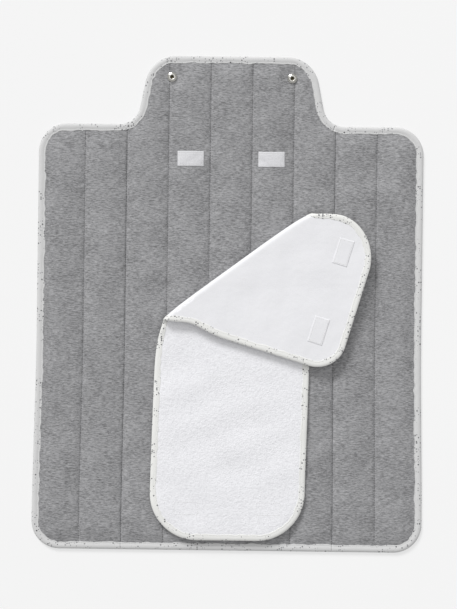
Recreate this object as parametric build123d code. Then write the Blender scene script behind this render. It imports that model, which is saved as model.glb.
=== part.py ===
from build123d import *
import math
import os

# A travel changing pad: a quilted pad with a closing tab, and a terry towel fastened to it by
# hook-and-loop patches. Millimetres, +X to the right, +Y towards the tab, +Z up from the surface
# that the pad lies on. The origin is the middle of the whole outline, on that surface.

# The pad's outline
PAD_HALF_WIDTH = 255.0
PAD_HALF_LENGTH = 323.0
SHOULDER_Y = 233.0
TAB_BASE_HALF_WIDTH = 126.0
TAB_TOP_HALF_WIDTH = 108.0
PAD_CORNER_RADIUS = 37.0
TAB_CORNER_RADIUS = 42.0
NECK_RADIUS = 28.0

# The quilting: parallel channels sewn along Y
CHANNEL_PITCH = 55.25
CHANNEL_COUNT = 9
CROWN_HEIGHT = 7.0
SEAM_HEIGHT = 2.6
FRONT_THICKNESS = 0.8
BACK_THICKNESS = 0.6
EDGE_FIT = 0.05

# The pad's folds
WING_SEAM_X = 2.5 * CHANNEL_PITCH
TAB_HINGE_Y = 240.0
FOLD_GAP = 0.4

# The bias binding round the pad, a U-shaped strip with the wadding's thin edge sewn inside
BINDING_WIDTH = 9.0
BINDING_HEIGHT = 3.6
BINDING_CLOTH = 0.7
BINDING_WEB = 1.5

# The hook-and-loop patches
PATCH_WIDTH = 35.0
PATCH_HEIGHT = 20.0
PATCH_THICKNESS = 0.9
PATCH_X = 53.5
UPPER_PATCH_Y = 188.5
LOWER_PATCH_Y = -267.0

# The press studs: sockets on the tab, and the studs that they close on, on the pad's back
SNAP_X = 78.6
SOCKET_Y = 295.0
STUD_Y = -261.0
SNAP_RADIUS = 6.3
SNAP_PRESSED_Z = 3.0
SNAP_FLANGE = 0.8
SOCKET_RIM = 2.4
SOCKET_RIM_INSET = 1.2
SOCKET_EDGE_RADIUS = 0.6
SOCKET_BORE_RADIUS = 2.3
STUD_CAP_HEIGHT = 1.2
STUD_CAP_EDGE_RADIUS = 0.8
RIVET_RADIUS = 1.7
RIVET_FIT = 0.2

# The towel, cut as one rounded rectangle and turned back along a slanting fold
TOWEL_HALF_WIDTH = 101.0
TOWEL_BOTTOM_Y = -309.0
TOWEL_TOP_Y = 228.0
TOWEL_CORNER_RADIUS = 62.0
TOWEL_TOP_LEFT_RADIUS = 38.0
TOWEL_BOTTOM_Z = 9.0
TOWEL_THICKNESS = 2.4
TOWEL_BINDING_WIDTH = 8.0
TOWEL_BINDING_PROUD = 0.1
TOWEL_BINDING_CLOTH = 0.7
FOLD_LEFT_Y = -19.0
FOLD_RIGHT_Y = 131.0
FLAP_BOTTOM_Z = 18.0

# Longer than anything here, for solids that only divide others
FAR = 1000.0

os.makedirs("parts", exist_ok=True)

FOLD_START = Vector(-TOWEL_HALF_WIDTH, FOLD_LEFT_Y, 0)
FOLD_END = Vector(TOWEL_HALF_WIDTH, FOLD_RIGHT_Y, 0)
FOLD_ALONG = (FOLD_END - FOLD_START).normalized()
FOLD_ACROSS = Vector(-FOLD_ALONG.Y, FOLD_ALONG.X, 0)
FOLD_AXIS_Z = (TOWEL_BOTTOM_Z + FLAP_BOTTOM_Z + TOWEL_THICKNESS) / 2


def prism(face, low, high):
    """The upright solid over a face in the XY plane, from height low to height high."""
    return Pos(0, 0, low) * extrude(face, high - low)


def block(x_range, y_range, z_range=(-FAR, FAR)):
    """A box given by its limits."""
    sizes = [high - low for low, high in (x_range, y_range, z_range)]
    middles = [(high + low) / 2 for low, high in (x_range, y_range, z_range)]
    return Pos(*middles) * Box(*sizes)


def disc(x, y, radius, low, high):
    """An upright cylinder from height low to height high."""
    return Pos(x, y, (low + high) / 2) * Cylinder(radius, high - low)


def on_both_sides(maker):
    """The solids that maker(x) gives at the two snap places, left and right."""
    return [maker(-SNAP_X), maker(SNAP_X)]


def rounded_face(corners, inset):
    """The face inside (x, y, radius) corners, with its edge moved in by inset."""
    points = [(x, y) for x, y, _ in corners]
    radii = [radius for _, _, radius in corners]
    face = make_face(FilletPolyline(*points, radius=radii, close=True))
    return offset(face, amount=-inset) if inset else face


def pad_outline(inset):
    """The pad seen from above, with its edge moved in by inset."""
    corners = [
        (PAD_HALF_WIDTH, -PAD_HALF_LENGTH, PAD_CORNER_RADIUS),
        (PAD_HALF_WIDTH, SHOULDER_Y, PAD_CORNER_RADIUS),
        (TAB_BASE_HALF_WIDTH, SHOULDER_Y, NECK_RADIUS),
        (TAB_TOP_HALF_WIDTH, PAD_HALF_LENGTH, TAB_CORNER_RADIUS),
    ]
    corners += [(-x, y, radius) for x, y, radius in reversed(corners)]
    return rounded_face(corners, inset)


def towel_outline(inset):
    """The towel laid flat, with its edge moved in by inset."""
    corners = [
        (-TOWEL_HALF_WIDTH, TOWEL_BOTTOM_Y, TOWEL_CORNER_RADIUS),
        (TOWEL_HALF_WIDTH, TOWEL_BOTTOM_Y, TOWEL_CORNER_RADIUS),
        (TOWEL_HALF_WIDTH, TOWEL_TOP_Y, TOWEL_CORNER_RADIUS),
        (-TOWEL_HALF_WIDTH, TOWEL_TOP_Y, TOWEL_TOP_LEFT_RADIUS),
    ]
    return rounded_face(corners, inset)


def channel_edges():
    """The X places where one channel ends and the next begins, outer edges included."""
    outer = PAD_HALF_WIDTH - BINDING_WIDTH
    seams = [(i - CHANNEL_COUNT / 2) * CHANNEL_PITCH for i in range(1, CHANNEL_COUNT)]
    return [-outer, *seams, outer]


def channel_arcs(shift):
    """The quilted surface's section: one shallow arc over each channel, moved up by shift."""
    edges = channel_edges()
    arcs = []
    for left, right in zip(edges, edges[1:]):
        start = (left, 0, SEAM_HEIGHT + shift)
        middle = ((left + right) / 2, 0, CROWN_HEIGHT + shift)
        end = (right, 0, SEAM_HEIGHT + shift)
        arcs.append(ThreePointArc(start, middle, end))
    return arcs


def section_solid(upper_arcs, lower_edges):
    """The solid between two lines that cross the pad, carried along its whole length."""
    starts = [upper_arcs[0] @ 0, lower_edges[0] @ 0]
    ends = [upper_arcs[-1] @ 1, lower_edges[-1] @ 1]
    sides = [Line(*starts), Line(*ends)]
    face = make_face(upper_arcs + lower_edges + sides)
    return extrude(face, amount=FAR, dir=(0, 1, 0), both=True)


def quilted_layer(low_shift, high_shift):
    """A layer that follows the channels, between two heights over the quilted surface."""
    return section_solid(channel_arcs(high_shift), channel_arcs(low_shift))


def quilted_filling(bottom, shift):
    """All that lies between a flat bottom and the quilted surface moved up by shift."""
    edges = channel_edges()
    flat = [Line((edges[0], 0, bottom), (edges[-1], 0, bottom))]
    return section_solid(channel_arcs(shift), flat)


def edge_binding(outline, width, low, high, cloth, web):
    """A U-shaped strip round an outline, open inwards, and the space that it holds."""
    slot_low = low + cloth
    slot_high = high - cloth
    ring = prism(outline(0), low, high) - prism(outline(width), low, high)
    slot = prism(outline(web), slot_low, slot_high)
    return ring - slot, prism(outline(web + EDGE_FIT), slot_low + EDGE_FIT, slot_high - EDGE_FIT)


def snap_recess(x, y):
    """What a press stud takes out of the pad: a pressed seat on each face, and a hole through."""
    front_seat = disc(x, y, SNAP_RADIUS + RIVET_FIT, SNAP_PRESSED_Z, FAR)
    back_seat = disc(x, y, SNAP_RADIUS + RIVET_FIT, -FAR, SNAP_FLANGE)
    hole = disc(x, y, RIVET_RADIUS + RIVET_FIT, -FAR, FAR)
    return [front_seat, back_seat, hole]


def socket(x):
    """A spring socket: a flange with a raised rim round the bore that takes the stud."""
    flange = disc(x, SOCKET_Y, SNAP_RADIUS, SNAP_PRESSED_Z, SNAP_PRESSED_Z + SNAP_FLANGE)
    rim_radius = SNAP_RADIUS - SOCKET_RIM_INSET
    rim = disc(x, SOCKET_Y, rim_radius, SNAP_PRESSED_Z, SNAP_PRESSED_Z + SOCKET_RIM)
    bore = disc(x, SOCKET_Y, SOCKET_BORE_RADIUS, SNAP_PRESSED_Z + SNAP_FLANGE / 2, FAR)
    top_edges = (flange + rim).edges().group_by(Axis.Z)[-1]
    return fillet(top_edges, SOCKET_EDGE_RADIUS) - bore


def socket_cap(x):
    """The cap on the tab's back, with the rivet that clamps the cloth under the socket."""
    cap = disc(x, SOCKET_Y, SNAP_RADIUS, 0, SNAP_FLANGE)
    return cap + disc(x, SOCKET_Y, RIVET_RADIUS, 0, SNAP_PRESSED_Z)


def stud(x):
    """A stud on the pad's back, sunk in its seat, with the knob that a socket snaps over."""
    flange = disc(x, STUD_Y, SNAP_RADIUS, SNAP_FLANGE / 2, SNAP_FLANGE)
    return flange + disc(x, STUD_Y, SOCKET_BORE_RADIUS - RIVET_FIT, 0, SNAP_FLANGE)


def stud_cap(x):
    """The cap on the pad's front that holds the stud through the cloth."""
    rivet = disc(x, STUD_Y, RIVET_RADIUS, SNAP_FLANGE, SNAP_PRESSED_Z)
    cap = disc(x, STUD_Y, SNAP_RADIUS, SNAP_PRESSED_Z, SNAP_PRESSED_Z + STUD_CAP_HEIGHT)
    return fillet(cap.edges().group_by(Axis.Z)[-1], STUD_CAP_EDGE_RADIUS) + rivet


def patches(y, z_range):
    """The upright blocks of one pair of hook-and-loop patches."""
    y_range = (y - PATCH_HEIGHT / 2, y + PATCH_HEIGHT / 2)
    places = (-PATCH_X, PATCH_X)
    return [block((x - PATCH_WIDTH / 2, x + PATCH_WIDTH / 2), y_range, z_range) for x in places]


def turned_over(shape, lift):
    """A shape of the flat towel, mirrored in the slanting fold and lifted."""
    mirror_plane = Plane(origin=FOLD_START, x_dir=FOLD_ALONG, z_dir=FOLD_ACROSS)
    return Pos(0, 0, lift) * mirror(shape, about=mirror_plane)


def solids_of(shape):
    """The solids in a shape or in a list of shapes."""
    found = [s for piece in shape for s in piece.solids()] if isinstance(shape, list) else shape.solids()
    return list(found)


def save(node, shape):
    """Writes one node, whose solids stay apart."""
    solids = solids_of(shape)
    result = solids[0] if len(solids) == 1 else Compound(children=solids)
    result.label = node
    export_step(result, f"parts/{node}.step")


# The pad's layers over the whole outline
inside_binding = prism(pad_outline(BINDING_WIDTH + EDGE_FIT), -FAR, FAR)
pad_binding, pad_tongue = edge_binding(
    pad_outline, BINDING_WIDTH, 0, BINDING_HEIGHT, BINDING_CLOTH, BINDING_WEB
)
front_layer = quilted_layer(-FRONT_THICKNESS, 0) & inside_binding
back_layer = prism(pad_outline(BINDING_WIDTH + EDGE_FIT), 0, BACK_THICKNESS)
filling = quilted_filling(BACK_THICKNESS, -FRONT_THICKNESS) & inside_binding
wadding_layer = filling + (pad_tongue - inside_binding)

layers = {
    "front_cover": front_layer,
    "wadding": wadding_layer,
    "back_cover": back_layer,
    "binding": pad_binding,
}

# The regions that the folds divide the pad into
inside_seams = (FOLD_GAP / 2 - WING_SEAM_X, WING_SEAM_X - FOLD_GAP / 2)
regions = {
    "center": block(inside_seams, (-FAR, TAB_HINGE_Y - FOLD_GAP / 2)),
    "left_wing": block((-FAR, -WING_SEAM_X - FOLD_GAP / 2), (-FAR, FAR)),
    "right_wing": block((WING_SEAM_X + FOLD_GAP / 2, FAR), (-FAR, FAR)),
    "tab": block(inside_seams, (TAB_HINGE_Y + FOLD_GAP / 2, FAR)),
}
recesses = {
    "center": on_both_sides(lambda x: snap_recess(x, STUD_Y)),
    "tab": on_both_sides(lambda x: snap_recess(x, SOCKET_Y)),
}

for region_name, region in regions.items():
    for layer_name, layer in layers.items():
        piece = layer & region
        for cuts in recesses.get(region_name, []):
            for cut in cuts:
                piece = piece - cut
        save(f"{region_name}_{layer_name}", piece)

# The fasteners on the pad
save("tab_snap_sockets", on_both_sides(socket))
save("tab_snap_caps", on_both_sides(socket_cap))
save("center_snap_studs", on_both_sides(stud))
save("center_stud_caps", on_both_sides(stud_cap))

patch_layer = quilted_layer(0, PATCH_THICKNESS)
for level, patch_y in (("upper", UPPER_PATCH_Y), ("lower", LOWER_PATCH_Y)):
    save(f"{level}_loop_patches", [patch_layer & patch for patch in patches(patch_y, (-FAR, FAR))])

# The towel, made flat and whole, then divided along the fold
towel_top_z = TOWEL_BOTTOM_Z + TOWEL_THICKNESS
towel_binding, towel_tongue = edge_binding(
    towel_outline,
    TOWEL_BINDING_WIDTH,
    TOWEL_BOTTOM_Z - TOWEL_BINDING_PROUD,
    towel_top_z + TOWEL_BINDING_PROUD,
    TOWEL_BINDING_CLOTH,
    BINDING_WEB,
)
towel_middle = towel_outline(TOWEL_BINDING_WIDTH + EDGE_FIT)
towel_cloth = prism(towel_middle, TOWEL_BOTTOM_Z, towel_top_z) + towel_tongue

fold_angle = math.degrees(math.atan2(FOLD_ALONG.Y, FOLD_ALONG.X))
at_fold = Pos(FOLD_START.X, FOLD_START.Y, 0) * Rot(0, 0, fold_angle)
below_fold = at_fold * block((-FAR, FAR), (-FAR, 0))
above_fold = at_fold * block((-FAR, FAR), (0, FAR))

save("towel_panel", towel_cloth & below_fold)
save("towel_panel_binding", towel_binding & below_fold)
flap_lift = FLAP_BOTTOM_Z - TOWEL_BOTTOM_Z
save("towel_flap", turned_over(towel_cloth & above_fold, flap_lift))
save("towel_flap_binding", turned_over(towel_binding & above_fold, flap_lift))

# The rounded edge where the towel turns over, from the panel's height to the flap's
fold_length = (FOLD_END - FOLD_START).length
fold_outer = FOLD_AXIS_Z - TOWEL_BOTTOM_Z
fold_inner = fold_outer - TOWEL_THICKNESS
fold_section = Circle(fold_outer) - Circle(fold_inner)
fold_section = fold_section & Pos(0, -FAR / 2) * Rectangle(FAR, FAR)
fold_plane = Plane(
    origin=FOLD_START + Vector(0, 0, FOLD_AXIS_Z), x_dir=(0, 0, 1), z_dir=FOLD_ALONG
)
fold_tube = extrude(fold_plane * fold_section, fold_length)
save("towel_fold", fold_tube & block((-TOWEL_HALF_WIDTH, TOWEL_HALF_WIDTH), (-FAR, FAR)))

# The towel's hook patches, under its lower end and on the turned-over face of its upper end
hook_range = (TOWEL_BOTTOM_Z - PATCH_THICKNESS, TOWEL_BOTTOM_Z)
hook_lift = flap_lift + TOWEL_THICKNESS + PATCH_THICKNESS
save("lower_hook_patches", patches(LOWER_PATCH_Y, hook_range))
save("upper_hook_patches", [turned_over(patch, hook_lift) for patch in patches(UPPER_PATCH_Y, hook_range)])
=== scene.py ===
"""The looks of a quilted travel changing pad with a turned-back terry towel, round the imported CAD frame.

Lengths are in metres. "Flat" coordinates are X and Y on the cloth before it was folded.
"""

import math

import bpy
import numpy as np
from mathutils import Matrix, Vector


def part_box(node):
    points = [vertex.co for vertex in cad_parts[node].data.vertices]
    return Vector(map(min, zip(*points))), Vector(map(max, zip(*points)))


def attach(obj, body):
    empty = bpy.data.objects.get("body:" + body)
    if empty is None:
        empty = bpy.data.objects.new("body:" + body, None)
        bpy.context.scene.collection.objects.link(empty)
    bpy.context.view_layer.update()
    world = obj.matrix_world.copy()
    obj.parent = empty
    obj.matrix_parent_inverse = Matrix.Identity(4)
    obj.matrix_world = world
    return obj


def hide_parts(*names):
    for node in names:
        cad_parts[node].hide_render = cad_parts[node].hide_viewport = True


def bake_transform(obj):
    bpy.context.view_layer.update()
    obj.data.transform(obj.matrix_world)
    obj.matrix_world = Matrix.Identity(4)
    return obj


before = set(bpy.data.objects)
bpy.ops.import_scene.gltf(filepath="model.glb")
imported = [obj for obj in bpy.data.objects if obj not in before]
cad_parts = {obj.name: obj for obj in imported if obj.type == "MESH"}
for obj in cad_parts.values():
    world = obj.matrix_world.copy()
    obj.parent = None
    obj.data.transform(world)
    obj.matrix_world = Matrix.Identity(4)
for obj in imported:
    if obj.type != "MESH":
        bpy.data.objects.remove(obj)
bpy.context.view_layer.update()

MM = 0.001

# The pad's outline, as the CAD has it
PAD_HALF_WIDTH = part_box("right_wing_binding")[1].x
PAD_HALF_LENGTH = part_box("tab_binding")[1].y
SHOULDER_Y = 233 * MM
TAB_BASE_HALF_WIDTH = 126 * MM
TAB_TOP_HALF_WIDTH = 108 * MM
PAD_CORNER_RADIUS = 37 * MM
TAB_CORNER_RADIUS = 42 * MM
NECK_RADIUS = 28 * MM

# The quilting
CHANNEL_PITCH = 55.25 * MM
SEAM_PLACES = [(i - 3.5) * CHANNEL_PITCH for i in range(8)]
CROWN_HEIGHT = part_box("center_front_cover")[1].z
SEAM_HEIGHT = 2.9 * MM
SEAM_GROOVE = 0.8 * MM
FRONT_THICKNESS = 0.8 * MM
BACK_THICKNESS = 0.6 * MM
BACK_LIFT = 0.25 * MM
QUILTING_PITCH = 3.2 * MM
QUILTING_RADIUS = 0.3 * MM
EDGE_INSET = 3.5 * MM
NARROWING = 0.014
FRONT_SPACING = 2.5 * MM
WADDING_SPACING = 6 * MM
BACK_SPACING = 4 * MM

# The folds
WING_SEAM_X = 2.5 * CHANNEL_PITCH
WING_BEND = 14 * MM
TAB_HINGE_Y = 240 * MM
TAB_BEND = 20 * MM

# The pad's binding
BINDING_WIDTH = 9 * MM
BINDING_STITCH_INSET = 7.6 * MM
BINDING_STITCH_HEIGHT = 3.1 * MM
BINDING_STITCH_PITCH = 2.6 * MM

# The fasteners
SNAP_X = 78.6 * MM
SOCKET_Y = 295 * MM
STUD_Y = -261 * MM
PATCH_SIZE = (35 * MM, 20 * MM)
PATCH_X = 53.5 * MM
UPPER_PATCH_Y = 188.5 * MM
LOWER_PATCH_Y = -267 * MM
SNAP_PLACES = [(-SNAP_X, SOCKET_Y), (SNAP_X, SOCKET_Y), (-SNAP_X, STUD_Y), (SNAP_X, STUD_Y)]
PATCH_THICKNESS = 0.9 * MM
PATCH_STITCH_INSET = 2 * MM
HOOK_THICKNESS = 0.4 * MM

# The towel
TOWEL_HALF_WIDTH = 101 * MM
TOWEL_BOTTOM_Y = -309 * MM
TOWEL_TOP_Y = 228 * MM
TOWEL_CORNER_RADIUS = 62 * MM
TOWEL_TOP_LEFT_RADIUS = 38 * MM
TOWEL_THICKNESS = 2.4 * MM
TOWEL_MIDDLE_Z = 10.2 * MM
TOWEL_SPACING = 3 * MM
TOWEL_STITCH_INSET = 6.6 * MM
TOWEL_LEAN = 5 * MM
FLAP_CURL = 6 * MM
FLAP_MIDDLE_Z = 18.2 * MM
FLAP_SAG = 0.9 * MM
FOLD_AXIS_Z = 14.7 * MM
ROLL_RADIUS = FOLD_AXIS_Z - TOWEL_MIDDLE_Z
ROLL_TOP_RADIUS = 4.0 * MM
FOLD_RETREAT = 3.6 * MM
FOLD_START = np.array([-101, -19]) * MM
FOLD_END = np.array([101, 131]) * MM
FOLD_LENGTH = float(np.linalg.norm(FOLD_END - FOLD_START))
FOLD_ALONG = (FOLD_END - FOLD_START) / FOLD_LENGTH
FOLD_ACROSS = np.array([-FOLD_ALONG[1], FOLD_ALONG[0]])
ROLL_HALF = math.pi * ROLL_RADIUS / 2
TIP_PUSHES = [
    (FOLD_START + np.array([0, -6]) * MM, (8.0 * MM, 1.0 * MM)),
    (FOLD_END + np.array([6, -2]) * MM, (-2.5 * MM, -9 * MM)),
]


# ---------------------------------------------------------------- flat shapes


def rounded_path(corners, spacing):
    """Evenly spaced points round a closed outline of (x, y, radius) corners, counter-clockwise."""
    points = []
    places = np.array([(x, y) for x, y, _ in corners])
    for i, (_, _, radius) in enumerate(corners):
        here = places[i]
        arriving = here - places[i - 1]
        leaving = places[(i + 1) % len(corners)] - here
        arriving = arriving / np.linalg.norm(arriving)
        leaving = leaving / np.linalg.norm(leaving)
        turn = math.atan2(
            arriving[0] * leaving[1] - arriving[1] * leaving[0], float(arriving @ leaving)
        )
        start = here - arriving * radius * math.tan(abs(turn) / 2)
        side = math.copysign(1, turn)
        centre = start + side * radius * np.array([-arriving[1], arriving[0]])
        first = math.atan2(*(start - centre)[::-1])
        for share in np.linspace(0, 1, 33):
            angle = first + share * turn
            points.append(centre + radius * np.array([math.cos(angle), math.sin(angle)]))
    loop = np.array(points + points[:1])
    along = np.concatenate([[0], np.cumsum(np.linalg.norm(np.diff(loop, axis=0), axis=1))])
    count = max(8, round(along[-1] / spacing))
    wanted = np.linspace(0, along[-1], count, endpoint=False)
    return np.stack([np.interp(wanted, along, loop[:, k]) for k in (0, 1)], axis=1)


def inward_normals(path):
    """The unit directions that point into a counter-clockwise closed outline."""
    ahead = np.roll(path, -1, axis=0) - np.roll(path, 1, axis=0)
    ahead /= np.linalg.norm(ahead, axis=1)[:, None]
    return np.stack([-ahead[:, 1], ahead[:, 0]], axis=1)


def exact_edge_distance(x, y, path):
    """How far points lie inside a closed outline; outside it the distance is negative."""
    points = np.stack([np.ravel(x), np.ravel(y)], axis=1)
    starts, ends = path, np.roll(path, -1, axis=0)
    runs = ends - starts
    found = np.empty(len(points))
    for low in range(0, len(points), 4000):
        block = points[low : low + 4000]
        gaps = block[:, None, :] - starts[None]
        share = np.clip((gaps * runs).sum(2) / (runs * runs).sum(1), 0, 1)
        nearest = np.linalg.norm(gaps - share[:, :, None] * runs, axis=2).min(1)
        crosses = (starts[:, 1] > block[:, 1:2]) != (ends[:, 1] > block[:, 1:2])
        slopes = runs[:, 0] / np.where(runs[:, 1] == 0, 1e-12, runs[:, 1])
        at = starts[:, 0] + (block[:, 1:2] - starts[:, 1]) * slopes
        inside = (crosses & (block[:, 0:1] < at)).sum(1) % 2 == 1
        found[low : low + 4000] = np.where(inside, nearest, -nearest)
    return found.reshape(np.shape(x))


def distance_finder(path, spacing=2 * MM, margin=6 * MM):
    """A quick way to find the distance inside a closed outline, from a grid of exact ones."""
    low, high = path.min(0) - margin, path.max(0) + margin
    counts = np.ceil((high - low) / spacing).astype(int) + 1
    columns, rows = (low[k] + spacing * np.arange(counts[k]) for k in (0, 1))
    table = exact_edge_distance(*np.meshgrid(columns, rows, indexing="ij"), path)

    def find(x, y):
        across = np.clip((np.asarray(x, float) - low[0]) / spacing, 0, counts[0] - 1.001)
        along = np.clip((np.asarray(y, float) - low[1]) / spacing, 0, counts[1] - 1.001)
        i, j = across.astype(int), along.astype(int)
        a, b = across - i, along - j
        near = table[i, j] * (1 - a) + table[i + 1, j] * a
        far = table[i, j + 1] * (1 - a) + table[i + 1, j + 1] * a
        return near * (1 - b) + far * b

    return find


def pad_corners():
    """The pad's outline as (x, y, radius) corners."""
    right = [
        (PAD_HALF_WIDTH, -PAD_HALF_LENGTH, PAD_CORNER_RADIUS),
        (PAD_HALF_WIDTH, SHOULDER_Y, PAD_CORNER_RADIUS),
        (TAB_BASE_HALF_WIDTH, SHOULDER_Y, NECK_RADIUS),
        (TAB_TOP_HALF_WIDTH, PAD_HALF_LENGTH, TAB_CORNER_RADIUS),
    ]
    return right + [(-x, y, radius) for x, y, radius in reversed(right)]


def towel_corners():
    """The towel's outline, laid flat, as (x, y, radius) corners."""
    return [
        (TOWEL_HALF_WIDTH, TOWEL_BOTTOM_Y, TOWEL_CORNER_RADIUS),
        (TOWEL_HALF_WIDTH, TOWEL_TOP_Y, TOWEL_CORNER_RADIUS),
        (-TOWEL_HALF_WIDTH, TOWEL_TOP_Y, TOWEL_TOP_LEFT_RADIUS),
        (-TOWEL_HALF_WIDTH, TOWEL_BOTTOM_Y, TOWEL_CORNER_RADIUS),
    ]


PAD_PATH = rounded_path(pad_corners(), 2 * MM)
TOWEL_PATH = rounded_path(towel_corners(), 1 * MM)
pad_edge_distance = distance_finder(PAD_PATH)
towel_edge_distance = distance_finder(TOWEL_PATH[::2])


# ---------------------------------------------------------------- surfaces


def ease(value):
    """A smooth step from 0 to 1 as value goes from 0 to 1."""
    value = np.clip(value, 0, 1)
    return value * value * (3 - 2 * value)


def waves(x, y, size, seed):
    """Smooth random swells, about -1 to 1, whose features are about that size."""
    generator = np.random.default_rng(seed)
    total = np.zeros(np.shape(x))
    for _ in range(10):
        angle = generator.uniform(0, 2 * math.pi)
        rate = 2 * math.pi / size * generator.uniform(0.6, 1.5)
        phase = generator.uniform(0, 2 * math.pi)
        total += np.sin(rate * (x * math.cos(angle) + y * math.sin(angle)) + phase)
    return total / 3


def seam_distance(x):
    """How far X places lie from the nearest quilting seam."""
    return np.abs(np.asarray(x)[..., None] - np.array(SEAM_PLACES)).min(-1)


def puff(x):
    """The filling's rise across the channels: 0 on a seam, 1 in a channel's middle."""
    share = np.clip(seam_distance(x) / (CHANNEL_PITCH / 2), 0, 1)
    return np.sin(share * math.pi / 2) ** 0.75


def dent(x, y, centre_x, centre_y, radius, reach):
    """1 within radius of a point, easing to 0 by reach."""
    away = np.hypot(x - centre_x, y - centre_y)
    return 1 - ease((away - radius) / (reach - radius))


def front_height(x, y):
    """The quilted front's height over the surface that the pad lies on."""
    edge = pad_edge_distance(x, y)
    gap = seam_distance(x)
    fullness = np.sin(np.clip((edge - BINDING_WIDTH) / (20 * MM), 0, 1) * math.pi / 2)
    rise = (CROWN_HEIGHT - SEAM_HEIGHT) * puff(x) * fullness
    depth = SEAM_GROOVE * np.exp(-((gap / (1.1 * MM)) ** 2))
    groove = depth * (0.75 + 0.25 * waves(x, y, 30 * MM, 6))
    near_seam = np.exp(-gap / (8 * MM)) * ease(gap / (2.5 * MM))
    near_edge = np.exp(-np.clip(edge - BINDING_WIDTH, 0, None) / (12 * MM))
    puckers = waves(x * 0.6, y * 1.8, 17 * MM, 3) * 0.5 * MM * near_seam
    puckers = puckers + waves(x, y, 15 * MM, 4) * 0.5 * MM * near_edge
    swells = waves(x, y, 75 * MM, 5) * 0.4 * MM
    creases = 0.45 * MM * np.exp(-((waves(x + 0.6 * y, y - 0.5 * x, 90 * MM, 8) / 0.22) ** 2))
    height = SEAM_HEIGHT + rise - groove + (puckers + swells - creases) * fullness
    for snap_x, snap_y in SNAP_PLACES:
        pressed = dent(x, y, snap_x, snap_y, 7.5 * MM, 19 * MM)
        height = height + (2.6 * MM - height) * pressed
    return height


def back_height(x, y):
    """The height of the pad's back, which only its seams lift off the surface."""
    return BACK_LIFT * np.exp(-((seam_distance(x) / (4 * MM)) ** 2)) + 0 * y


def fold_place(x, y):
    """Flat points as distances along the towel's fold and across it, towards the flap."""
    gap_x, gap_y = x - FOLD_START[0], y - FOLD_START[1]
    along = gap_x * FOLD_ALONG[0] + gap_y * FOLD_ALONG[1]
    across = gap_x * FOLD_ACROSS[0] + gap_y * FOLD_ACROSS[1]
    return along, across


def flat_place(along, across):
    """The flat points at those distances along the towel's fold and across it."""
    x = FOLD_START[0] + along * FOLD_ALONG[0] + across * FOLD_ACROSS[0]
    y = FOLD_START[1] + along * FOLD_ALONG[1] + across * FOLD_ACROSS[1]
    return x, y


def towel_panel_height(x, y, across):
    """The middle of the towel's cloth where it lies on the pad, a little lower under the flap."""
    edge = towel_edge_distance(x, y)
    droop = 0.8 * MM * (1 - ease(edge / (14 * MM)))
    swells = waves(x, y, 60 * MM, 11) * 0.3 * MM
    dip = 1.2 * MM * ease(-across / (25 * MM)) * (1 - ease((-across - 60 * MM) / (50 * MM)))
    return TOWEL_MIDDLE_Z + (swells - droop - dip) * ease((-across - ROLL_HALF) / (20 * MM))


def flap_height(x, y, across):
    """The middle of the towel's cloth where it is turned back."""
    roll_top = FOLD_AXIS_Z + ROLL_TOP_RADIUS
    swells = waves(x, y, 80 * MM, 12) * 0.3 * MM
    sag = FLAP_SAG * ease((y - 150 * MM) / (70 * MM))
    beyond_roll = ease((across - ROLL_HALF) / (40 * MM))
    return roll_top + (FLAP_MIDDLE_Z + swells - sag - roll_top) * beyond_roll


def push(points, centre, shove):
    """Moves plan points near a centre by shove, easing off so that a corner there comes out round."""
    away = np.hypot(points[0] - centre[0], points[1] - centre[1])
    reach = 2.2 * math.hypot(*shove)
    share = np.exp(-(np.sqrt(away**2 + (3 * MM) ** 2) - 3 * MM) / reach)
    return points[0] + shove[0] * share, points[1] + shove[1] * share


def towel_point(x, y, lift):
    """Where flat points of the towel lie, lifted off its middle towards its terry side."""
    x, y, lift = np.broadcast_arrays(np.asarray(x, float), np.asarray(y, float), lift)
    along, across = fold_place(x, y)
    angle = np.clip((across + ROLL_HALF) / ROLL_RADIUS, 0, math.pi)
    on_panel, on_flap = across < -ROLL_HALF, across > ROLL_HALF
    up_edge, from_edge = y - FOLD_START[1], x + TOWEL_HALF_WIDTH
    curl = np.exp(-(((up_edge - 45 * MM) / (26 * MM)) ** 2)) * np.exp(-((from_edge / (45 * MM)) ** 2))
    curl = FLAP_CURL * curl * on_flap
    out = -ROLL_HALF + (ROLL_RADIUS - lift) * np.sin(angle)
    out = np.where(on_panel, across, np.where(on_flap, -(across + curl * FOLD_ACROSS[0]), out))
    out = out - FOLD_RETREAT * np.exp(-((across / (30 * MM)) ** 2))
    roll_height = np.where(angle < math.pi / 2, ROLL_RADIUS, ROLL_TOP_RADIUS) - lift
    height = FOLD_AXIS_Z - roll_height * np.cos(angle)
    height = np.where(on_panel, towel_panel_height(x, y, across) + lift, height)
    height = np.where(on_flap, flap_height(x, y, across) - lift, height)
    placed = flat_place(along + curl * FOLD_ALONG[0], out)
    for centre, shove in TIP_PUSHES:
        placed = push(placed, centre, shove)
    lean = TOWEL_LEAN * ease((y - TOWEL_BOTTOM_Y) / (300 * MM))
    return np.stack([placed[0] + lean, placed[1], height], axis=-1)


def pad_point(x, y, height):
    """Points of the pad at that height. The pad lies a little narrower towards the tab."""
    narrowing = 1 - NARROWING * ease((y + 300 * MM) / (260 * MM))
    return np.stack(np.broadcast_arrays(x * narrowing, y, height), axis=-1)


def front_point(x, y, lift):
    """Points on the pad's front, lifted off its surface."""
    return pad_point(x, y, front_height(x, y) + lift)


# ---------------------------------------------------------------- mesh makers


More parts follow.
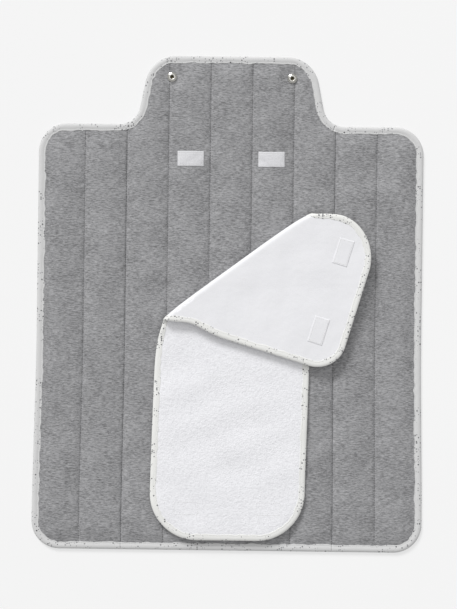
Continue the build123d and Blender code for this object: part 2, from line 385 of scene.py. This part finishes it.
def new_piece(name, points, faces, materials, face_materials=None):
    """A smooth mesh object in the row frame."""
    mesh = bpy.data.meshes.new(name)
    mesh.from_pydata(points, [], faces)
    for material in materials:
        mesh.materials.append(material)
    if face_materials is not None:
        mesh.polygons.foreach_set("material_index", face_materials)
    mesh.polygons.foreach_set("use_smooth", [True] * len(faces))
    mesh.update()
    piece = bpy.data.objects.new(name, mesh)
    bpy.context.scene.collection.objects.link(piece)
    return piece


def layer_piece(name, columns, rows, kept, upper, lower, materials):
    """A closed layer over the kept cells of a grid, between two arrays of points.

    kept has one value for each cell, and upper and lower one point for each crossing.
    The first material is the upper face's and the last one the rest's.
    """
    used = np.zeros((len(columns), len(rows)), bool)
    for step_x in (0, 1):
        for step_y in (0, 1):
            used[step_x : step_x + kept.shape[0], step_y : step_y + kept.shape[1]] |= kept
    numbers = np.full(used.shape, -1)
    count = int(used.sum())
    numbers[used] = np.arange(count)
    points = np.concatenate([upper[used], lower[used]])
    i, j = np.nonzero(kept)
    corners = [numbers[i, j], numbers[i + 1, j], numbers[i + 1, j + 1], numbers[i, j + 1]]
    top = np.stack(corners, axis=1)
    faces = [top, top[:, ::-1] + count]
    padded_kept = np.pad(kept, 1)
    sides = [((-1, 0), (0, 3)), ((1, 0), (2, 1)), ((0, -1), (1, 0)), ((0, 1), (3, 2))]
    for (step_x, step_y), (first, second) in sides:
        open_side = ~padded_kept[i + 1 + step_x, j + 1 + step_y]
        a, b = top[open_side, first], top[open_side, second]
        faces.append(np.stack([a, b, b + count, a + count], axis=1))
    quads = np.concatenate(faces)
    face_materials = np.full(len(quads), len(materials) - 1)
    face_materials[: len(top)] = 0
    return new_piece(name, points.tolist(), quads.tolist(), materials, face_materials)


def strip_piece(name, path, normals, section, place, material, closed=False):
    """A closed strip along a flat path: section holds (inward distance, height) points, in a loop."""
    widths = np.array([w for w, _ in section])
    heights = np.array([h for _, h in section])
    along = np.concatenate([[0], np.cumsum(np.linalg.norm(np.diff(path, axis=0), axis=1))])
    ripple = 1 + 0.05 * waves(along, along * 0, 11 * MM, 21)[:, None]
    sway = 0.35 * MM * waves(along, along * 0, 23 * MM, 22)[:, None]
    reach = widths * ripple + sway * (widths > 0.6 * widths.max())
    x = path[:, 0:1] + normals[:, 0:1] * reach
    y = path[:, 1:2] + normals[:, 1:2] * reach
    points = place(x, y, heights[None, :] * np.ones_like(x)).reshape(-1, 3)
    rings, size = len(path), len(section)
    faces = []
    for ring in range(rings if closed else rings - 1):
        here, ahead = ring * size, (ring + 1) % rings * size
        for k in range(size):
            other = (k + 1) % size
            faces.append((here + k, here + other, ahead + other, ahead + k))
    if not closed:
        faces.append(tuple(range(size))[::-1])
        faces.append(tuple((rings - 1) * size + k for k in range(size)))
    return new_piece(name, points.tolist(), faces, [material])


def stitches_piece(name, lines, place, material, pitch=3 * MM, radius=0.28 * MM):
    """Rows of sewn stitches along flat lines, each one a short thread that dips in at its ends."""
    middles, directions = [], []
    for line in lines:
        line = np.asarray(line, float)
        lengths = np.linalg.norm(np.diff(line, axis=0), axis=1)
        along = np.concatenate([[0], np.cumsum(lengths)])
        wanted = np.arange(pitch / 2, along[-1], pitch)
        spots = np.stack([np.interp(wanted, along, line[:, k]) for k in (0, 1)], axis=1)
        ahead = np.stack([np.interp(wanted + pitch / 8, along, line[:, k]) for k in (0, 1)], axis=1)
        behind = np.stack([np.interp(wanted - pitch / 8, along, line[:, k]) for k in (0, 1)], axis=1)
        heading = ahead - behind
        middles.append(spots)
        directions.append(heading / np.linalg.norm(heading, axis=1)[:, None])
    middles, directions = np.concatenate(middles), np.concatenate(directions)
    shares = np.array([-0.5, -0.36, 0, 0.36, 0.5])
    sinks = np.array([-0.9, 0.15, 0.5, 0.15, -0.9]) * radius
    thick = np.array([0.35, 0.9, 1, 0.9, 0.35]) * radius
    length = 0.86 * pitch
    x = middles[:, 0:1] + directions[:, 0:1] * shares * length
    y = middles[:, 1:2] + directions[:, 1:2] * shares * length
    base = place(x, y, np.zeros_like(x))
    up = place(x, y, np.full_like(x, 0.5 * MM)) - base
    up /= np.linalg.norm(up, axis=2)[:, :, None]
    run = base[:, -1] - base[:, 0]
    run /= np.linalg.norm(run, axis=1)[:, None]
    side = np.cross(run[:, None, :], up)
    side /= np.linalg.norm(side, axis=2)[:, :, None]
    base = base + up * sinks[None, :, None]
    ring = np.linspace(0, 2 * math.pi, 6, endpoint=False)
    rings = [
        base + thick[None, :, None] * (math.cos(a) * side + math.sin(a) * up) for a in ring
    ]
    points = np.stack(rings, axis=2).reshape(-1, 3)
    faces = []
    for k in range(len(middles)):
        first = k * len(shares) * len(ring)
        for section in range(len(shares) - 1):
            low = first + section * len(ring)
            for m in range(len(ring)):
                n = (m + 1) % len(ring)
                faces.append((low + m, low + n, low + n + len(ring), low + m + len(ring)))
        last = first + (len(shares) - 1) * len(ring)
        faces.append(tuple(first + m for m in reversed(range(len(ring)))))
        faces.append(tuple(last + m for m in range(len(ring))))
    return new_piece(name, points.tolist(), faces, [material])


def lathe_piece(name, profile, centre, material, steps=48):
    """A turned piece: profile holds (radius, height) points, in a loop."""
    points, faces = [], []
    for i in range(steps):
        angle = 2 * math.pi * i / steps
        for radius, height in profile:
            x = centre[0] + radius * math.cos(angle)
            y = centre[1] + radius * math.sin(angle)
            points.append((x, y, height))
    size = len(profile)
    for i in range(steps):
        here, ahead = i * size, (i + 1) % steps * size
        for k in range(size):
            other = (k + 1) % size
            faces.append((here + k, ahead + k, ahead + other, here + other))
    return new_piece(name, points, faces, [material])


# ---------------------------------------------------------------- materials


class Nodes:
    """A material's node tree, with short ways to add to it."""

    def __init__(self, name):
        self.material = bpy.data.materials.new(name)
        self.material.use_nodes = True
        self.tree = self.material.node_tree
        self.shader = self.tree.nodes["Principled BSDF"]
        self.place = self.add("ShaderNodeTexCoord").outputs["Object"]

    def add(self, kind, **settings):
        node = self.tree.nodes.new(kind)
        for key, value in settings.items():
            setattr(node, key, value)
        return node

    def link(self, source, target):
        self.tree.links.new(source, target)

    def scaled(self, scale):
        """The place on the object, scaled along each axis."""
        mapping = self.add("ShaderNodeMapping")
        mapping.inputs["Scale"].default_value = scale
        self.link(self.place, mapping.inputs["Vector"])
        return mapping.outputs["Vector"]

    def noise(self, scale, detail=3.0, roughness=0.5):
        """Noise with scale features for each metre, along each axis."""
        texture = self.add("ShaderNodeTexNoise")
        texture.inputs["Scale"].default_value = 1.0
        texture.inputs["Detail"].default_value = detail
        texture.inputs["Roughness"].default_value = roughness
        self.link(self.scaled(scale), texture.inputs["Vector"])
        return texture.outputs["Fac"]

    def math(self, operation, first, second=None, third=None):
        node = self.add("ShaderNodeMath", operation=operation)
        for socket, value in zip(node.inputs, (first, second, third)):
            if value is None:
                continue
            if isinstance(value, (int, float)):
                socket.default_value = value
            else:
                self.link(value, socket)
        return node.outputs[0]

    def between(self, value, low, high, new_low=0.0, new_high=1.0):
        """value carried from one range to another, and kept in it."""
        node = self.add("ShaderNodeMapRange")
        self.link(value, node.inputs["Value"])
        limits = (("From Min", low), ("From Max", high), ("To Min", new_low), ("To Max", new_high))
        for key, number in limits:
            node.inputs[key].default_value = number
        return node.outputs["Result"]

    def blend(self, share, first, second):
        """One colour at share 0, the other at share 1."""
        node = self.add("ShaderNodeMix", data_type="RGBA")
        self.link(share, node.inputs["Factor"])
        for socket, colour in ((node.inputs["A"], first), (node.inputs["B"], second)):
            if isinstance(colour, tuple):
                socket.default_value = (*colour, 1)
            else:
                self.link(colour, socket)
        return node.outputs["Result"]

    def bump(self, height, strength, distance):
        node = self.add("ShaderNodeBump")
        node.inputs["Strength"].default_value = strength
        node.inputs["Distance"].default_value = distance
        self.link(height, node.inputs["Height"])
        self.link(node.outputs["Normal"], self.shader.inputs["Normal"])

    def finish(self, colour, roughness, sheen=0.0, metallic=0.0):
        """Sets the shader's colour and finish, and gives the material."""
        if isinstance(colour, tuple):
            self.shader.inputs["Base Color"].default_value = (*colour, 1)
        else:
            self.link(colour, self.shader.inputs["Base Color"])
        if isinstance(roughness, (int, float)):
            self.shader.inputs["Roughness"].default_value = roughness
        else:
            self.link(roughness, self.shader.inputs["Roughness"])
        self.shader.inputs["Sheen Weight"].default_value = sheen
        self.shader.inputs["Metallic"].default_value = metallic
        return self.material


def jersey_material():
    """Grey melange jersey: short streaks of light and dark fibre along each row of the knit."""
    nodes = Nodes("grey_melange_jersey")
    streaks = nodes.noise((170, 800, 600), 4.0, 0.65)
    fibres = nodes.noise((420, 1700, 900), 2.0, 0.6)
    clouds = nodes.noise((26, 34, 30), 2.0, 0.5)
    grey = nodes.math("MULTIPLY_ADD", streaks, 0.62, 0.0)
    grey = nodes.math("MULTIPLY_ADD", fibres, 0.26, grey)
    grey = nodes.math("MULTIPLY_ADD", clouds, 0.12, grey)
    share = nodes.between(grey, 0.38, 0.62)
    colour = nodes.blend(share, (0.135, 0.135, 0.139), (0.420, 0.420, 0.430))
    pale = nodes.between(nodes.noise((260, 700, 500), 2.0, 0.7), 0.62, 0.72)
    colour = nodes.blend(nodes.math("MULTIPLY", pale, 0.5), colour, (0.56, 0.56, 0.57))
    wales = nodes.add("ShaderNodeTexWave", bands_direction="X")
    wales.inputs["Scale"].default_value = 1.0
    wales.inputs["Distortion"].default_value = 1.5
    nodes.link(nodes.scaled((360, 360, 360)), wales.inputs["Vector"])
    knit = nodes.math("MULTIPLY_ADD", wales.outputs["Fac"], 0.35, fibres)
    nodes.bump(nodes.math("ADD", knit, streaks), 0.55, 0.35 * MM)
    return nodes.finish(colour, 0.92, sheen=0.12)


def speckled_material(name, cloth, dot_density):
    """White cotton printed with loose clusters of small grey specks."""
    nodes = Nodes(name)
    cells = nodes.add("ShaderNodeTexVoronoi")
    cells.inputs["Scale"].default_value = 1.0
    nodes.link(nodes.scaled((400, 400, 400)), cells.inputs["Vector"])
    size = nodes.add("ShaderNodeSeparateColor")
    nodes.link(cells.outputs["Color"], size.inputs["Color"])
    radius = nodes.between(size.outputs["Red"], 0.25, 0.9, 0.0, 0.46)
    dot = nodes.math("SUBTRACT", radius, cells.outputs["Distance"])
    dot = nodes.between(dot, 0.0, 0.06)
    cluster = nodes.between(nodes.noise((42, 42, 42), 1.0, 0.5), dot_density, dot_density + 0.05)
    inked = nodes.math("MULTIPLY", dot, cluster)
    ink = nodes.blend(size.outputs["Green"], (0.07, 0.07, 0.075), (0.36, 0.36, 0.37))
    weave = nodes.noise((900, 900, 900), 2.0, 0.6)
    shade = nodes.between(weave, 0.3, 0.7, 0.0, 0.5)
    ground = nodes.blend(shade, cloth, tuple(0.93 * c for c in cloth))
    nodes.bump(weave, 0.35, 0.2 * MM)
    return nodes.finish(nodes.blend(inked, ground, ink), 0.85, sheen=0.08)


def terry_material():
    """White terry: a dense pile of small loops with soft hollows between them."""
    nodes = Nodes("white_terry")
    loops = nodes.add("ShaderNodeTexVoronoi", feature="SMOOTH_F1")
    loops.inputs["Scale"].default_value = 1.0
    nodes.link(nodes.scaled((620, 620, 620)), loops.inputs["Vector"])
    tufts = nodes.noise((240, 240, 240), 4.0, 0.65)
    clouds = nodes.noise((30, 30, 30), 2.0, 0.5)
    pile = nodes.math("SUBTRACT", tufts, nodes.math("MULTIPLY", loops.outputs["Distance"], 0.5))
    share = nodes.between(nodes.math("MULTIPLY_ADD", clouds, 0.25, pile), 0.0, 0.55)
    colour = nodes.blend(share, (0.73, 0.73, 0.755), (0.85, 0.85, 0.875))
    nodes.bump(pile, 0.8, 0.9 * MM)
    return nodes.finish(colour, 0.95, sheen=0.25)


def towel_back_material():
    """The towel's smooth white back: a fine knit, gently uneven."""
    nodes = Nodes("white_towel_back")
    knit = nodes.noise((700, 700, 700), 3.0, 0.6)
    clouds = nodes.noise((40, 40, 40), 2.0, 0.5)
    share = nodes.math("MULTIPLY_ADD", clouds, 0.5, nodes.math("MULTIPLY", knit, 0.5))
    colour = nodes.blend(share, (0.76, 0.76, 0.785), (0.85, 0.85, 0.87))
    nodes.bump(nodes.math("MULTIPLY_ADD", clouds, 4.0, knit), 0.5, 0.5 * MM)
    return nodes.finish(colour, 0.92, sheen=0.2)


def tape_material(name, low, high, scale):
    """Hook-and-loop tape: a dense field of tiny loops or hooks."""
    nodes = Nodes(name)
    tufts = nodes.noise((scale, scale, scale), 3.0, 0.7)
    rows = nodes.add("ShaderNodeTexWave", bands_direction="Y")
    rows.inputs["Scale"].default_value = 1.0
    rows.inputs["Distortion"].default_value = 2.0
    nodes.link(nodes.scaled((220, 220, 220)), rows.inputs["Vector"])
    field = nodes.math("MULTIPLY_ADD", rows.outputs["Fac"], 0.25, tufts)
    colour = nodes.blend(nodes.between(field, 0.35, 0.85), low, high)
    nodes.bump(field, 0.6, 0.4 * MM)
    return nodes.finish(colour, 0.8, sheen=0.15)


def plain_material(name, low, high, scale, roughness):
    """Cloth, felt or thread with fine fibres and a little variation."""
    nodes = Nodes(name)
    fibres = nodes.noise((scale, scale, scale), 3.0, 0.6)
    colour = nodes.blend(nodes.between(fibres, 0.3, 0.7), low, high)
    nodes.bump(fibres, 0.4, 0.2 * MM)
    return nodes.finish(colour, roughness)


def metal_material(name, low, high):
    """Plated metal with a faintly uneven polish."""
    nodes = Nodes(name)
    wear = nodes.noise((900, 900, 900), 3.0, 0.6)
    colour = nodes.blend(nodes.between(wear, 0.3, 0.7), low, high)
    nodes.bump(wear, 0.15, 0.1 * MM)
    return nodes.finish(colour, nodes.between(wear, 0.3, 0.7, 0.22, 0.36), metallic=1.0)


JERSEY = jersey_material()
BINDING = speckled_material("speckled_binding", (0.62, 0.62, 0.62), 0.43)
BACK_COTTON = speckled_material("speckled_back_cotton", (0.70, 0.70, 0.70), 0.48)
TOWEL_BINDING = speckled_material("speckled_towel_binding", (0.80, 0.80, 0.78), 0.43)
TERRY = terry_material()
TOWEL_BACK = towel_back_material()
LOOP_TAPE = tape_material("loop_tape", (0.53, 0.53, 0.55), (0.76, 0.76, 0.78), 900)
HOOK_TAPE = tape_material("hook_tape", (0.76, 0.76, 0.785), (0.85, 0.85, 0.87), 1100)
WADDING = plain_material("white_wadding", (0.75, 0.75, 0.73), (0.85, 0.85, 0.83), 300, 0.95)
# The seam thread is coloured darker than the grey thread itself: it also carries painted shade of the seam
# grooves it lies in.
SEAM_THREAD_AND_GROOVE_SHADE = plain_material("grey_thread_and_groove_shade", (0.07, 0.07, 0.073), (0.14, 0.14, 0.145), 2500, 0.7)
WHITE_THREAD = plain_material("white_thread", (0.72, 0.72, 0.715), (0.82, 0.82, 0.815), 2500, 0.7)
SNAP_METAL = metal_material("snap_metal", (0.52, 0.51, 0.47), (0.72, 0.71, 0.67))
# The spring's near-black colour is painted shade down the socket's bore, over the spring's own dark metal.
SNAP_SPRING_AND_BORE_SHADE = metal_material("snap_spring_and_bore_shade", (0.03, 0.028, 0.02), (0.09, 0.08, 0.05))


# ---------------------------------------------------------------- the pad


def grid_lines(low, high, spacing, through=()):
    """Evenly spaced values from low to high that also pass through the given ones."""
    stops = sorted({low, high, *[v for v in through if low < v < high]})
    values = [low]
    for start, end in zip(stops, stops[1:]):
        steps = max(1, round((end - start) / spacing))
        values += list(np.linspace(start, end, steps + 1)[1:])
    return np.array(values)


REGIONS = {
    "left": (-PAD_HALF_WIDTH, -WING_SEAM_X),
    "center": (-WING_SEAM_X, WING_SEAM_X),
    "right": (WING_SEAM_X, PAD_HALF_WIDTH),
}
REGION_NODES = {"left": ["left_wing"], "center": ["center", "tab"], "right": ["right_wing"]}


def bend_with(piece, region):
    """Bakes the piece's placement into its mesh, the same way for every region."""
    if region == "center":
        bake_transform(piece)
    else:
        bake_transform(piece)
    return piece


def pad_layer(region, layer, spacing, upper, lower, materials):
    """One layer of the pad over one region, standing for its CAD nodes."""
    low, high = REGIONS[region]
    beside = [x + side * gap for x in SEAM_PLACES for side in (-1, 1) for gap in (0.7 * MM, 1.6 * MM)]
    bends = [side * (WING_SEAM_X + WING_BEND * k / 14) for side in (-1, 1) for k in range(3, 15)]
    columns = grid_lines(low, high, spacing, [*SEAM_PLACES, *beside, *bends])
    tab_bends = [TAB_HINGE_Y + TAB_BEND * k / 16 for k in range(17)]
    rows = grid_lines(-PAD_HALF_LENGTH, PAD_HALF_LENGTH, spacing, tab_bends)
    middle_x, middle_y = (columns[1:] + columns[:-1]) / 2, (rows[1:] + rows[:-1]) / 2
    cell_x, cell_y = np.meshgrid(middle_x, middle_y, indexing="ij")
    kept = pad_edge_distance(cell_x, cell_y) > EDGE_INSET
    x, y = np.meshgrid(columns, rows, indexing="ij")
    points = [pad_point(x, y, surface(x, y)) for surface in (upper, lower)]
    piece = layer_piece(f"{region}_pad_{layer}", columns, rows, kept, *points, materials)
    bend_with(piece, region)
    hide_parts(*[f"{node}_{layer}" for node in REGION_NODES[region]])
    return piece, float((np.outer(np.diff(columns), np.diff(rows)) * kept).sum())


def front_underside(x, y):
    """The height of the front cover's inner face."""
    return front_height(x, y) - FRONT_THICKNESS


def back_inside(x, y):
    """The height of the back cover's inner face."""
    return back_height(x, y) + BACK_THICKNESS


def make_pad():
    """The pad's three layers over each of its regions."""
    for region in REGIONS:
        front, area = pad_layer(
            region, "front_cover", FRONT_SPACING, front_height, front_underside, [JERSEY]
        )
        filling, _ = pad_layer(
            region, "wadding", WADDING_SPACING, front_underside, back_inside, [WADDING]
        )
        back, area = pad_layer(
            region, "back_cover", BACK_SPACING, back_inside, back_height, [BACK_COTTON]
        )


# (inward distance, height) round the pad binding's section, from its inner edge on the front
PAD_BINDING_SECTION = [
    (w * MM, h * MM)
    for w, h in [
        (9.6, 2.2), (9.3, 3.3), (8.7, 3.65), (7.9, 3.2), (7.1, 3.35), (5.2, 4.0), (2.6, 3.8), (0.8, 3.1),
        (0.0, 1.9), (0.6, 0.7), (2.0, 0.1), (5.0, 0.0), (7.5, 0.1), (9.0, 0.5), (9.0, 1.6),
    ]
]


def path_between(path, first, last):
    """The stretch of a closed outline from the point nearest first to the one nearest last."""
    begin = int(np.linalg.norm(path - first, axis=1).argmin())
    end = int(np.linalg.norm(path - last, axis=1).argmin())
    picked = np.arange(begin, end + 1 if end > begin else end + 1 + len(path)) % len(path)
    return path[picked], inward_normals(path)[picked]


def shoulder_crossing():
    """The Y where the wing's seam meets the outline, in the curve of the neck."""
    near = PAD_PATH[np.abs(PAD_PATH[:, 0] - WING_SEAM_X) < 2 * MM]
    return float(near[:, 1].max())


def binding_stretches():
    """The pad's outline, cut where the wing seams cross it, counter-clockwise."""
    shoulder = shoulder_crossing()
    bottom_left = (-WING_SEAM_X, -PAD_HALF_LENGTH)
    bottom_right = (WING_SEAM_X, -PAD_HALF_LENGTH)
    top_left = (-WING_SEAM_X, shoulder)
    top_right = (WING_SEAM_X, shoulder)
    return {
        "bottom": (bottom_left, bottom_right, "center_binding"),
        "right": (bottom_right, top_right, "right_wing_binding"),
        "top": (top_right, top_left, "tab_binding"),
        "left": (top_left, bottom_left, "left_wing_binding"),
    }


def ends_on_seams(path, first, last):
    """The path with its end points put exactly on the wing seams."""
    path = path.copy()
    path[0, 0], path[-1, 0] = first[0], last[0]
    return path


def make_pad_binding():
    """The binding round the pad, and the row of stitches near its inner edge."""
    for name, (first, last, node) in binding_stretches().items():
        path, normals = path_between(PAD_PATH, np.array(first), np.array(last))
        path = ends_on_seams(path, first, last)
        strip = strip_piece(f"{name}_binding", path, normals, PAD_BINDING_SECTION, pad_point, BINDING)
        line = path + normals * BINDING_STITCH_INSET
        row = stitches_piece(
            f"{name}_binding_stitches",
            [line[2:-2]],
            lambda x, y, h: pad_point(x, y, h + BINDING_STITCH_HEIGHT),
            WHITE_THREAD,
            pitch=BINDING_STITCH_PITCH,
            radius=0.22 * MM,
        )
        region = {"bottom": None, "top": "center"}.get(name, name)
        for piece in (strip, row):
            if region is None:
                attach(piece, "center")
            else:
                bend_with(piece, region)
        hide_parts(node)


def seam_ends(x):
    """The lowest and highest Y of a quilting seam, where it runs under the binding."""
    reach = np.linspace(-PAD_HALF_LENGTH, PAD_HALF_LENGTH, 1293)
    inside = reach[pad_edge_distance(np.full_like(reach, x), reach) > BINDING_WIDTH]
    return inside.min(), inside.max()


def make_seams():
    """The quilting seams' stitches. The two seams that the wings fold on stay with the centre."""
    lines = {region: [] for region in REGIONS}
    for x in SEAM_PLACES:
        low, high = seam_ends(x)
        region = "center" if abs(x) <= WING_SEAM_X + MM else ("left" if x < 0 else "right")
        lines[region].append([(x, low), (x, high)])
    for region, rows in lines.items():
        seams = [
            np.stack([np.full(200, x), np.linspace(low, high, 200)], 1) for (x, low), (_, high) in rows
        ]
        piece = stitches_piece(
            f"{region}_quilting",
            seams,
            lambda x, y, h: front_point(x, y, h + 0.02 * MM),
            SEAM_THREAD_AND_GROOVE_SHADE,
            pitch=QUILTING_PITCH,
            radius=QUILTING_RADIUS,
        )
        bend_with(piece, region)


# ---------------------------------------------------------------- fasteners


def patch_stitch_line(centre_x, centre_y, points=40):
    """The flat rectangle that a patch is sewn down along, as closely spaced points."""
    width, height = (size - 2 * PATCH_STITCH_INSET for size in PATCH_SIZE)
    corners = [(-1, -1), (1, -1), (1, 1), (-1, 1), (-1, -1)]
    line = np.array([(centre_x + a * width / 2, centre_y + b * height / 2) for a, b in corners])
    share = np.linspace(0, 4, 4 * points + 1)
    return np.stack([np.interp(share, range(5), line[:, k]) for k in (0, 1)], axis=1)


def patch_piece(name, centre_x, centre_y, place, low, high, material):
    """A hook-and-loop patch with softly rounded edges, between two lifts off a surface."""
    columns = np.linspace(centre_x - PATCH_SIZE[0] / 2, centre_x + PATCH_SIZE[0] / 2, 36)
    rows = np.linspace(centre_y - PATCH_SIZE[1] / 2, centre_y + PATCH_SIZE[1] / 2, 21)
    x, y = np.meshgrid(columns, rows, indexing="ij")
    side = np.minimum(
        PATCH_SIZE[0] / 2 - np.abs(x - centre_x), PATCH_SIZE[1] / 2 - np.abs(y - centre_y)
    )
    rounding = ease(side / (1.2 * MM)) * 0.5 + 0.5
    sewn = np.exp(-(((side - 2 * MM) / (0.5 * MM)) ** 2)) * 0.3
    share = rounding - sewn
    upper = place(x, y, low + (high - low) * share)
    lower = place(x, y, np.full_like(x, low))
    kept = np.ones((len(columns) - 1, len(rows) - 1), bool)
    if high < low:
        upper, lower = lower, upper
    return layer_piece(name, columns, rows, kept, upper, lower, [material])


def make_loop_patches():
    """The four loop patches on the pad, each with its stitched frame."""
    for level, y in (("upper", UPPER_PATCH_Y), ("lower", LOWER_PATCH_Y)):
        for side, x in (("left", -PATCH_X), ("right", PATCH_X)):
            name = f"{level}_{side}_loop_patch"
            patch = patch_piece(name, x, y, front_point, -0.2 * MM, PATCH_THICKNESS, LOOP_TAPE)
            frame_line = patch_stitch_line(x, y)
            thread = stitches_piece(
                f"{name}_stitches", [frame_line],
                lambda px, py, h: front_point(px, py, h + 0.62 * MM), WHITE_THREAD,
                pitch=2.4 * MM, radius=0.2 * MM,
            )
            for piece in (patch, thread):
                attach(piece, "center")
            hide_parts(f"{level}_loop_patches")


def make_snaps():
    """The two spring sockets on the tab. The spring down each bore is coloured near black: painted shade of
    the bore over the spring's own dark metal.

    The sockets' caps, the studs and the studs' caps keep the CAD's shape.
    """
    rim = [
        (2.3, 3.6), (2.35, 4.9), (2.8, 5.35), (3.6, 5.4), (4.6, 5.15), (5.1, 4.6), (5.3, 4.1),
        (5.9, 4.0), (6.3, 3.7), (6.3, 3.2), (6.0, 2.9), (2.3, 2.9),
    ]
    spring = [(0.0, 3.7), (1.0, 3.7), (1.7, 4.0), (2.25, 4.3), (2.3, 3.6), (0.0, 3.1)]
    for side, x in (("left", -SNAP_X), ("right", SNAP_X)):
        shapes = ((f"{side}_snap_socket", rim, SNAP_METAL), (f"{side}_snap_spring_and_bore_shade", spring, SNAP_SPRING_AND_BORE_SHADE))
        for name, profile, material in shapes:
            profile = [(radius * MM, height * MM) for radius, height in profile]
            piece = lathe_piece(name, profile, (x, SOCKET_Y), material)
            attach(piece, "tab")
            if name.endswith("socket"):
                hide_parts("tab_snap_sockets")
    for node in ("tab_snap_caps", "center_snap_studs", "center_stud_caps"):
        cad_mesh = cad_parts[node].data
        cad_mesh.materials.clear()
        cad_mesh.materials.append(SNAP_METAL)


# ---------------------------------------------------------------- the towel


def bend_towel(piece):
    """Bakes the piece's placement into its mesh."""
    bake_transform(piece)


def towel_cloth():
    """The towel's cloth as one closed layer, over the panel, round the fold and over the flap."""
    turns = np.linspace(-1, 1, 18) * ROLL_HALF
    panel = grid_lines(-420 * MM, -ROLL_HALF, TOWEL_SPACING)
    flap = grid_lines(ROLL_HALF, 330 * MM, TOWEL_SPACING)
    across = np.concatenate([panel[:-1], turns, flap[1:]])
    along = grid_lines(-420 * MM, 420 * MM, TOWEL_SPACING)
    cell_along, cell_across = np.meshgrid(
        (along[1:] + along[:-1]) / 2, (across[1:] + across[:-1]) / 2, indexing="ij"
    )
    kept = towel_edge_distance(*flat_place(cell_along, cell_across)) > 3 * MM
    used = np.nonzero(kept.any(1))[0]
    span, cells = slice(used.min(), used.max() + 2), slice(used.min(), used.max() + 1)
    flat_x, flat_y = flat_place(*np.meshgrid(along[span], across, indexing="ij"))
    upper = towel_point(flat_x, flat_y, TOWEL_THICKNESS / 2)
    lower = towel_point(flat_x, flat_y, -TOWEL_THICKNESS / 2)
    materials = [TERRY, TOWEL_BACK]
    piece = layer_piece("towel_cloth", along[span], across, kept[cells], upper, lower, materials)
    area = float((np.outer(np.diff(along), np.diff(across)) * kept).sum())
    return piece, area


# (inward distance, lift off the cloth's middle) round the towel binding's section
TOWEL_BINDING_SECTION = [
    (w * MM, h * MM)
    for w, h in [
        (8.4, 1.1), (8.0, 1.5), (7.4, 1.65), (6.6, 1.45), (5.6, 1.7), (3.6, 1.8), (1.6, 1.6), (0.4, 0.9),
        (0.0, 0.0), (0.4, -0.9), (1.6, -1.6), (3.6, -1.8), (5.6, -1.7), (6.6, -1.45),
        (7.4, -1.65), (8.0, -1.5), (8.4, -1.1),
    ]
]


def make_towel():
    """The towel: its cloth, the binding round it and the hook patches."""
    cloth, area = towel_cloth()
    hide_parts("towel_panel", "towel_fold", "towel_flap")
    normals = inward_normals(TOWEL_PATH)
    strip = strip_piece(
        "towel_edge_binding",
        TOWEL_PATH,
        normals,
        TOWEL_BINDING_SECTION,
        towel_point,
        TOWEL_BINDING,
        closed=True,
    )
    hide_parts("towel_panel_binding", "towel_flap_binding")
    line = TOWEL_PATH + normals * TOWEL_STITCH_INSET
    threads = []
    for side, lift in (("terry", 1.5 * MM), ("back", -1.5 * MM)):
        thread = stitches_piece(
            f"towel_{side}_stitches", [line], raised(lift), WHITE_THREAD, 2.6 * MM, 0.2 * MM
        )
        threads.append(thread)
    for piece in (cloth, strip, *threads):
        bend_towel(piece)
    make_hook_patches()


def raised(lift):
    """A way to place points on the towel, lifted off its middle; a negative lift is on its back."""
    direction = math.copysign(1, lift)
    return lambda x, y, h: towel_point(x, y, lift + direction * h)


def make_hook_patches():
    """The towel's hook patches, and the lines of stitches that show through its terry side."""
    low, high = -TOWEL_THICKNESS / 2, -TOWEL_THICKNESS / 2 - HOOK_THICKNESS
    levels = (("lower", LOWER_PATCH_Y, "towel"), ("upper", UPPER_PATCH_Y, "towel_flap"))
    for level, y, body in levels:
        for side, x in (("left", -PATCH_X), ("right", PATCH_X)):
            name = f"{level}_{side}_hook_patch"
            patch = patch_piece(name, x, y, towel_point, low, high, HOOK_TAPE)
            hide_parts(f"{level}_hook_patches")
            pieces = [patch]
            line = patch_stitch_line(x, y)
            for face, lift in (("terry", 1.2 * MM), ("back", -1.45 * MM)):
                thread = stitches_piece(
                    f"{name}_{face}_stitches", [line], raised(lift), WHITE_THREAD, 2.6 * MM, 0.22 * MM
                )
                pieces.append(thread)
            for piece in pieces:
                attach(piece, body)


# ---------------------------------------------------------------- the studio


def make_camera():
    """A camera straight above, turned a little, as the pad lies in the picture."""
    height, view_length, turn = 2.2, 0.797, 0.75
    data = bpy.data.cameras.new("camera")
    data.sensor_width = 36
    data.lens = data.sensor_width * height / view_length
    camera = bpy.data.objects.new("camera", data)
    camera.location = (-1 * MM, -1.3 * MM, height)
    camera.rotation_euler = (0, 0, math.radians(turn))
    bpy.context.scene.collection.objects.link(camera)
    bpy.context.scene.camera = camera


def add_light(kind, place, power, **settings):
    """A light at a place, facing the pad."""
    data = bpy.data.lights.new(kind.lower(), kind)
    data.energy = power
    for key, value in settings.items():
        setattr(data, key, value)
    light = bpy.data.objects.new(kind.lower(), data)
    light.location = place
    light.rotation_euler = (-light.location).to_track_quat("-Z", "Y").to_euler()
    bpy.context.scene.collection.objects.link(light)


def make_studio():
    """A pale floor that glows a little, an even surround, and soft lights from above and the upper left."""
    bpy.ops.mesh.primitive_plane_add(size=12, location=(0, 0, -0.3 * MM))
    floor = bpy.context.object
    floor.name = "floor"
    nodes = Nodes("pale_floor")
    nodes.shader.inputs["Emission Color"].default_value = (1, 1, 1, 1)
    nodes.shader.inputs["Emission Strength"].default_value = 0.52
    floor.data.materials.append(nodes.finish((0.38, 0.38, 0.38), 0.95))
    world = bpy.data.worlds.new("studio")
    world.use_nodes = True
    background = world.node_tree.nodes["Background"]
    background.inputs["Color"].default_value = (1, 1, 1, 1)
    background.inputs["Strength"].default_value = 0.52
    bpy.context.scene.world = world
    add_light("SUN", (-1.2, 2.4, 1.5), 2.4, angle=math.radians(20))
    add_light("AREA", (0.3, 0.6, 2.4), 8, size=1.6)
    bpy.context.scene.view_settings.view_transform = "Standard"


make_camera()
make_pad()
make_pad_binding()
make_seams()
make_loop_patches()
make_snaps()
make_towel()
make_studio()
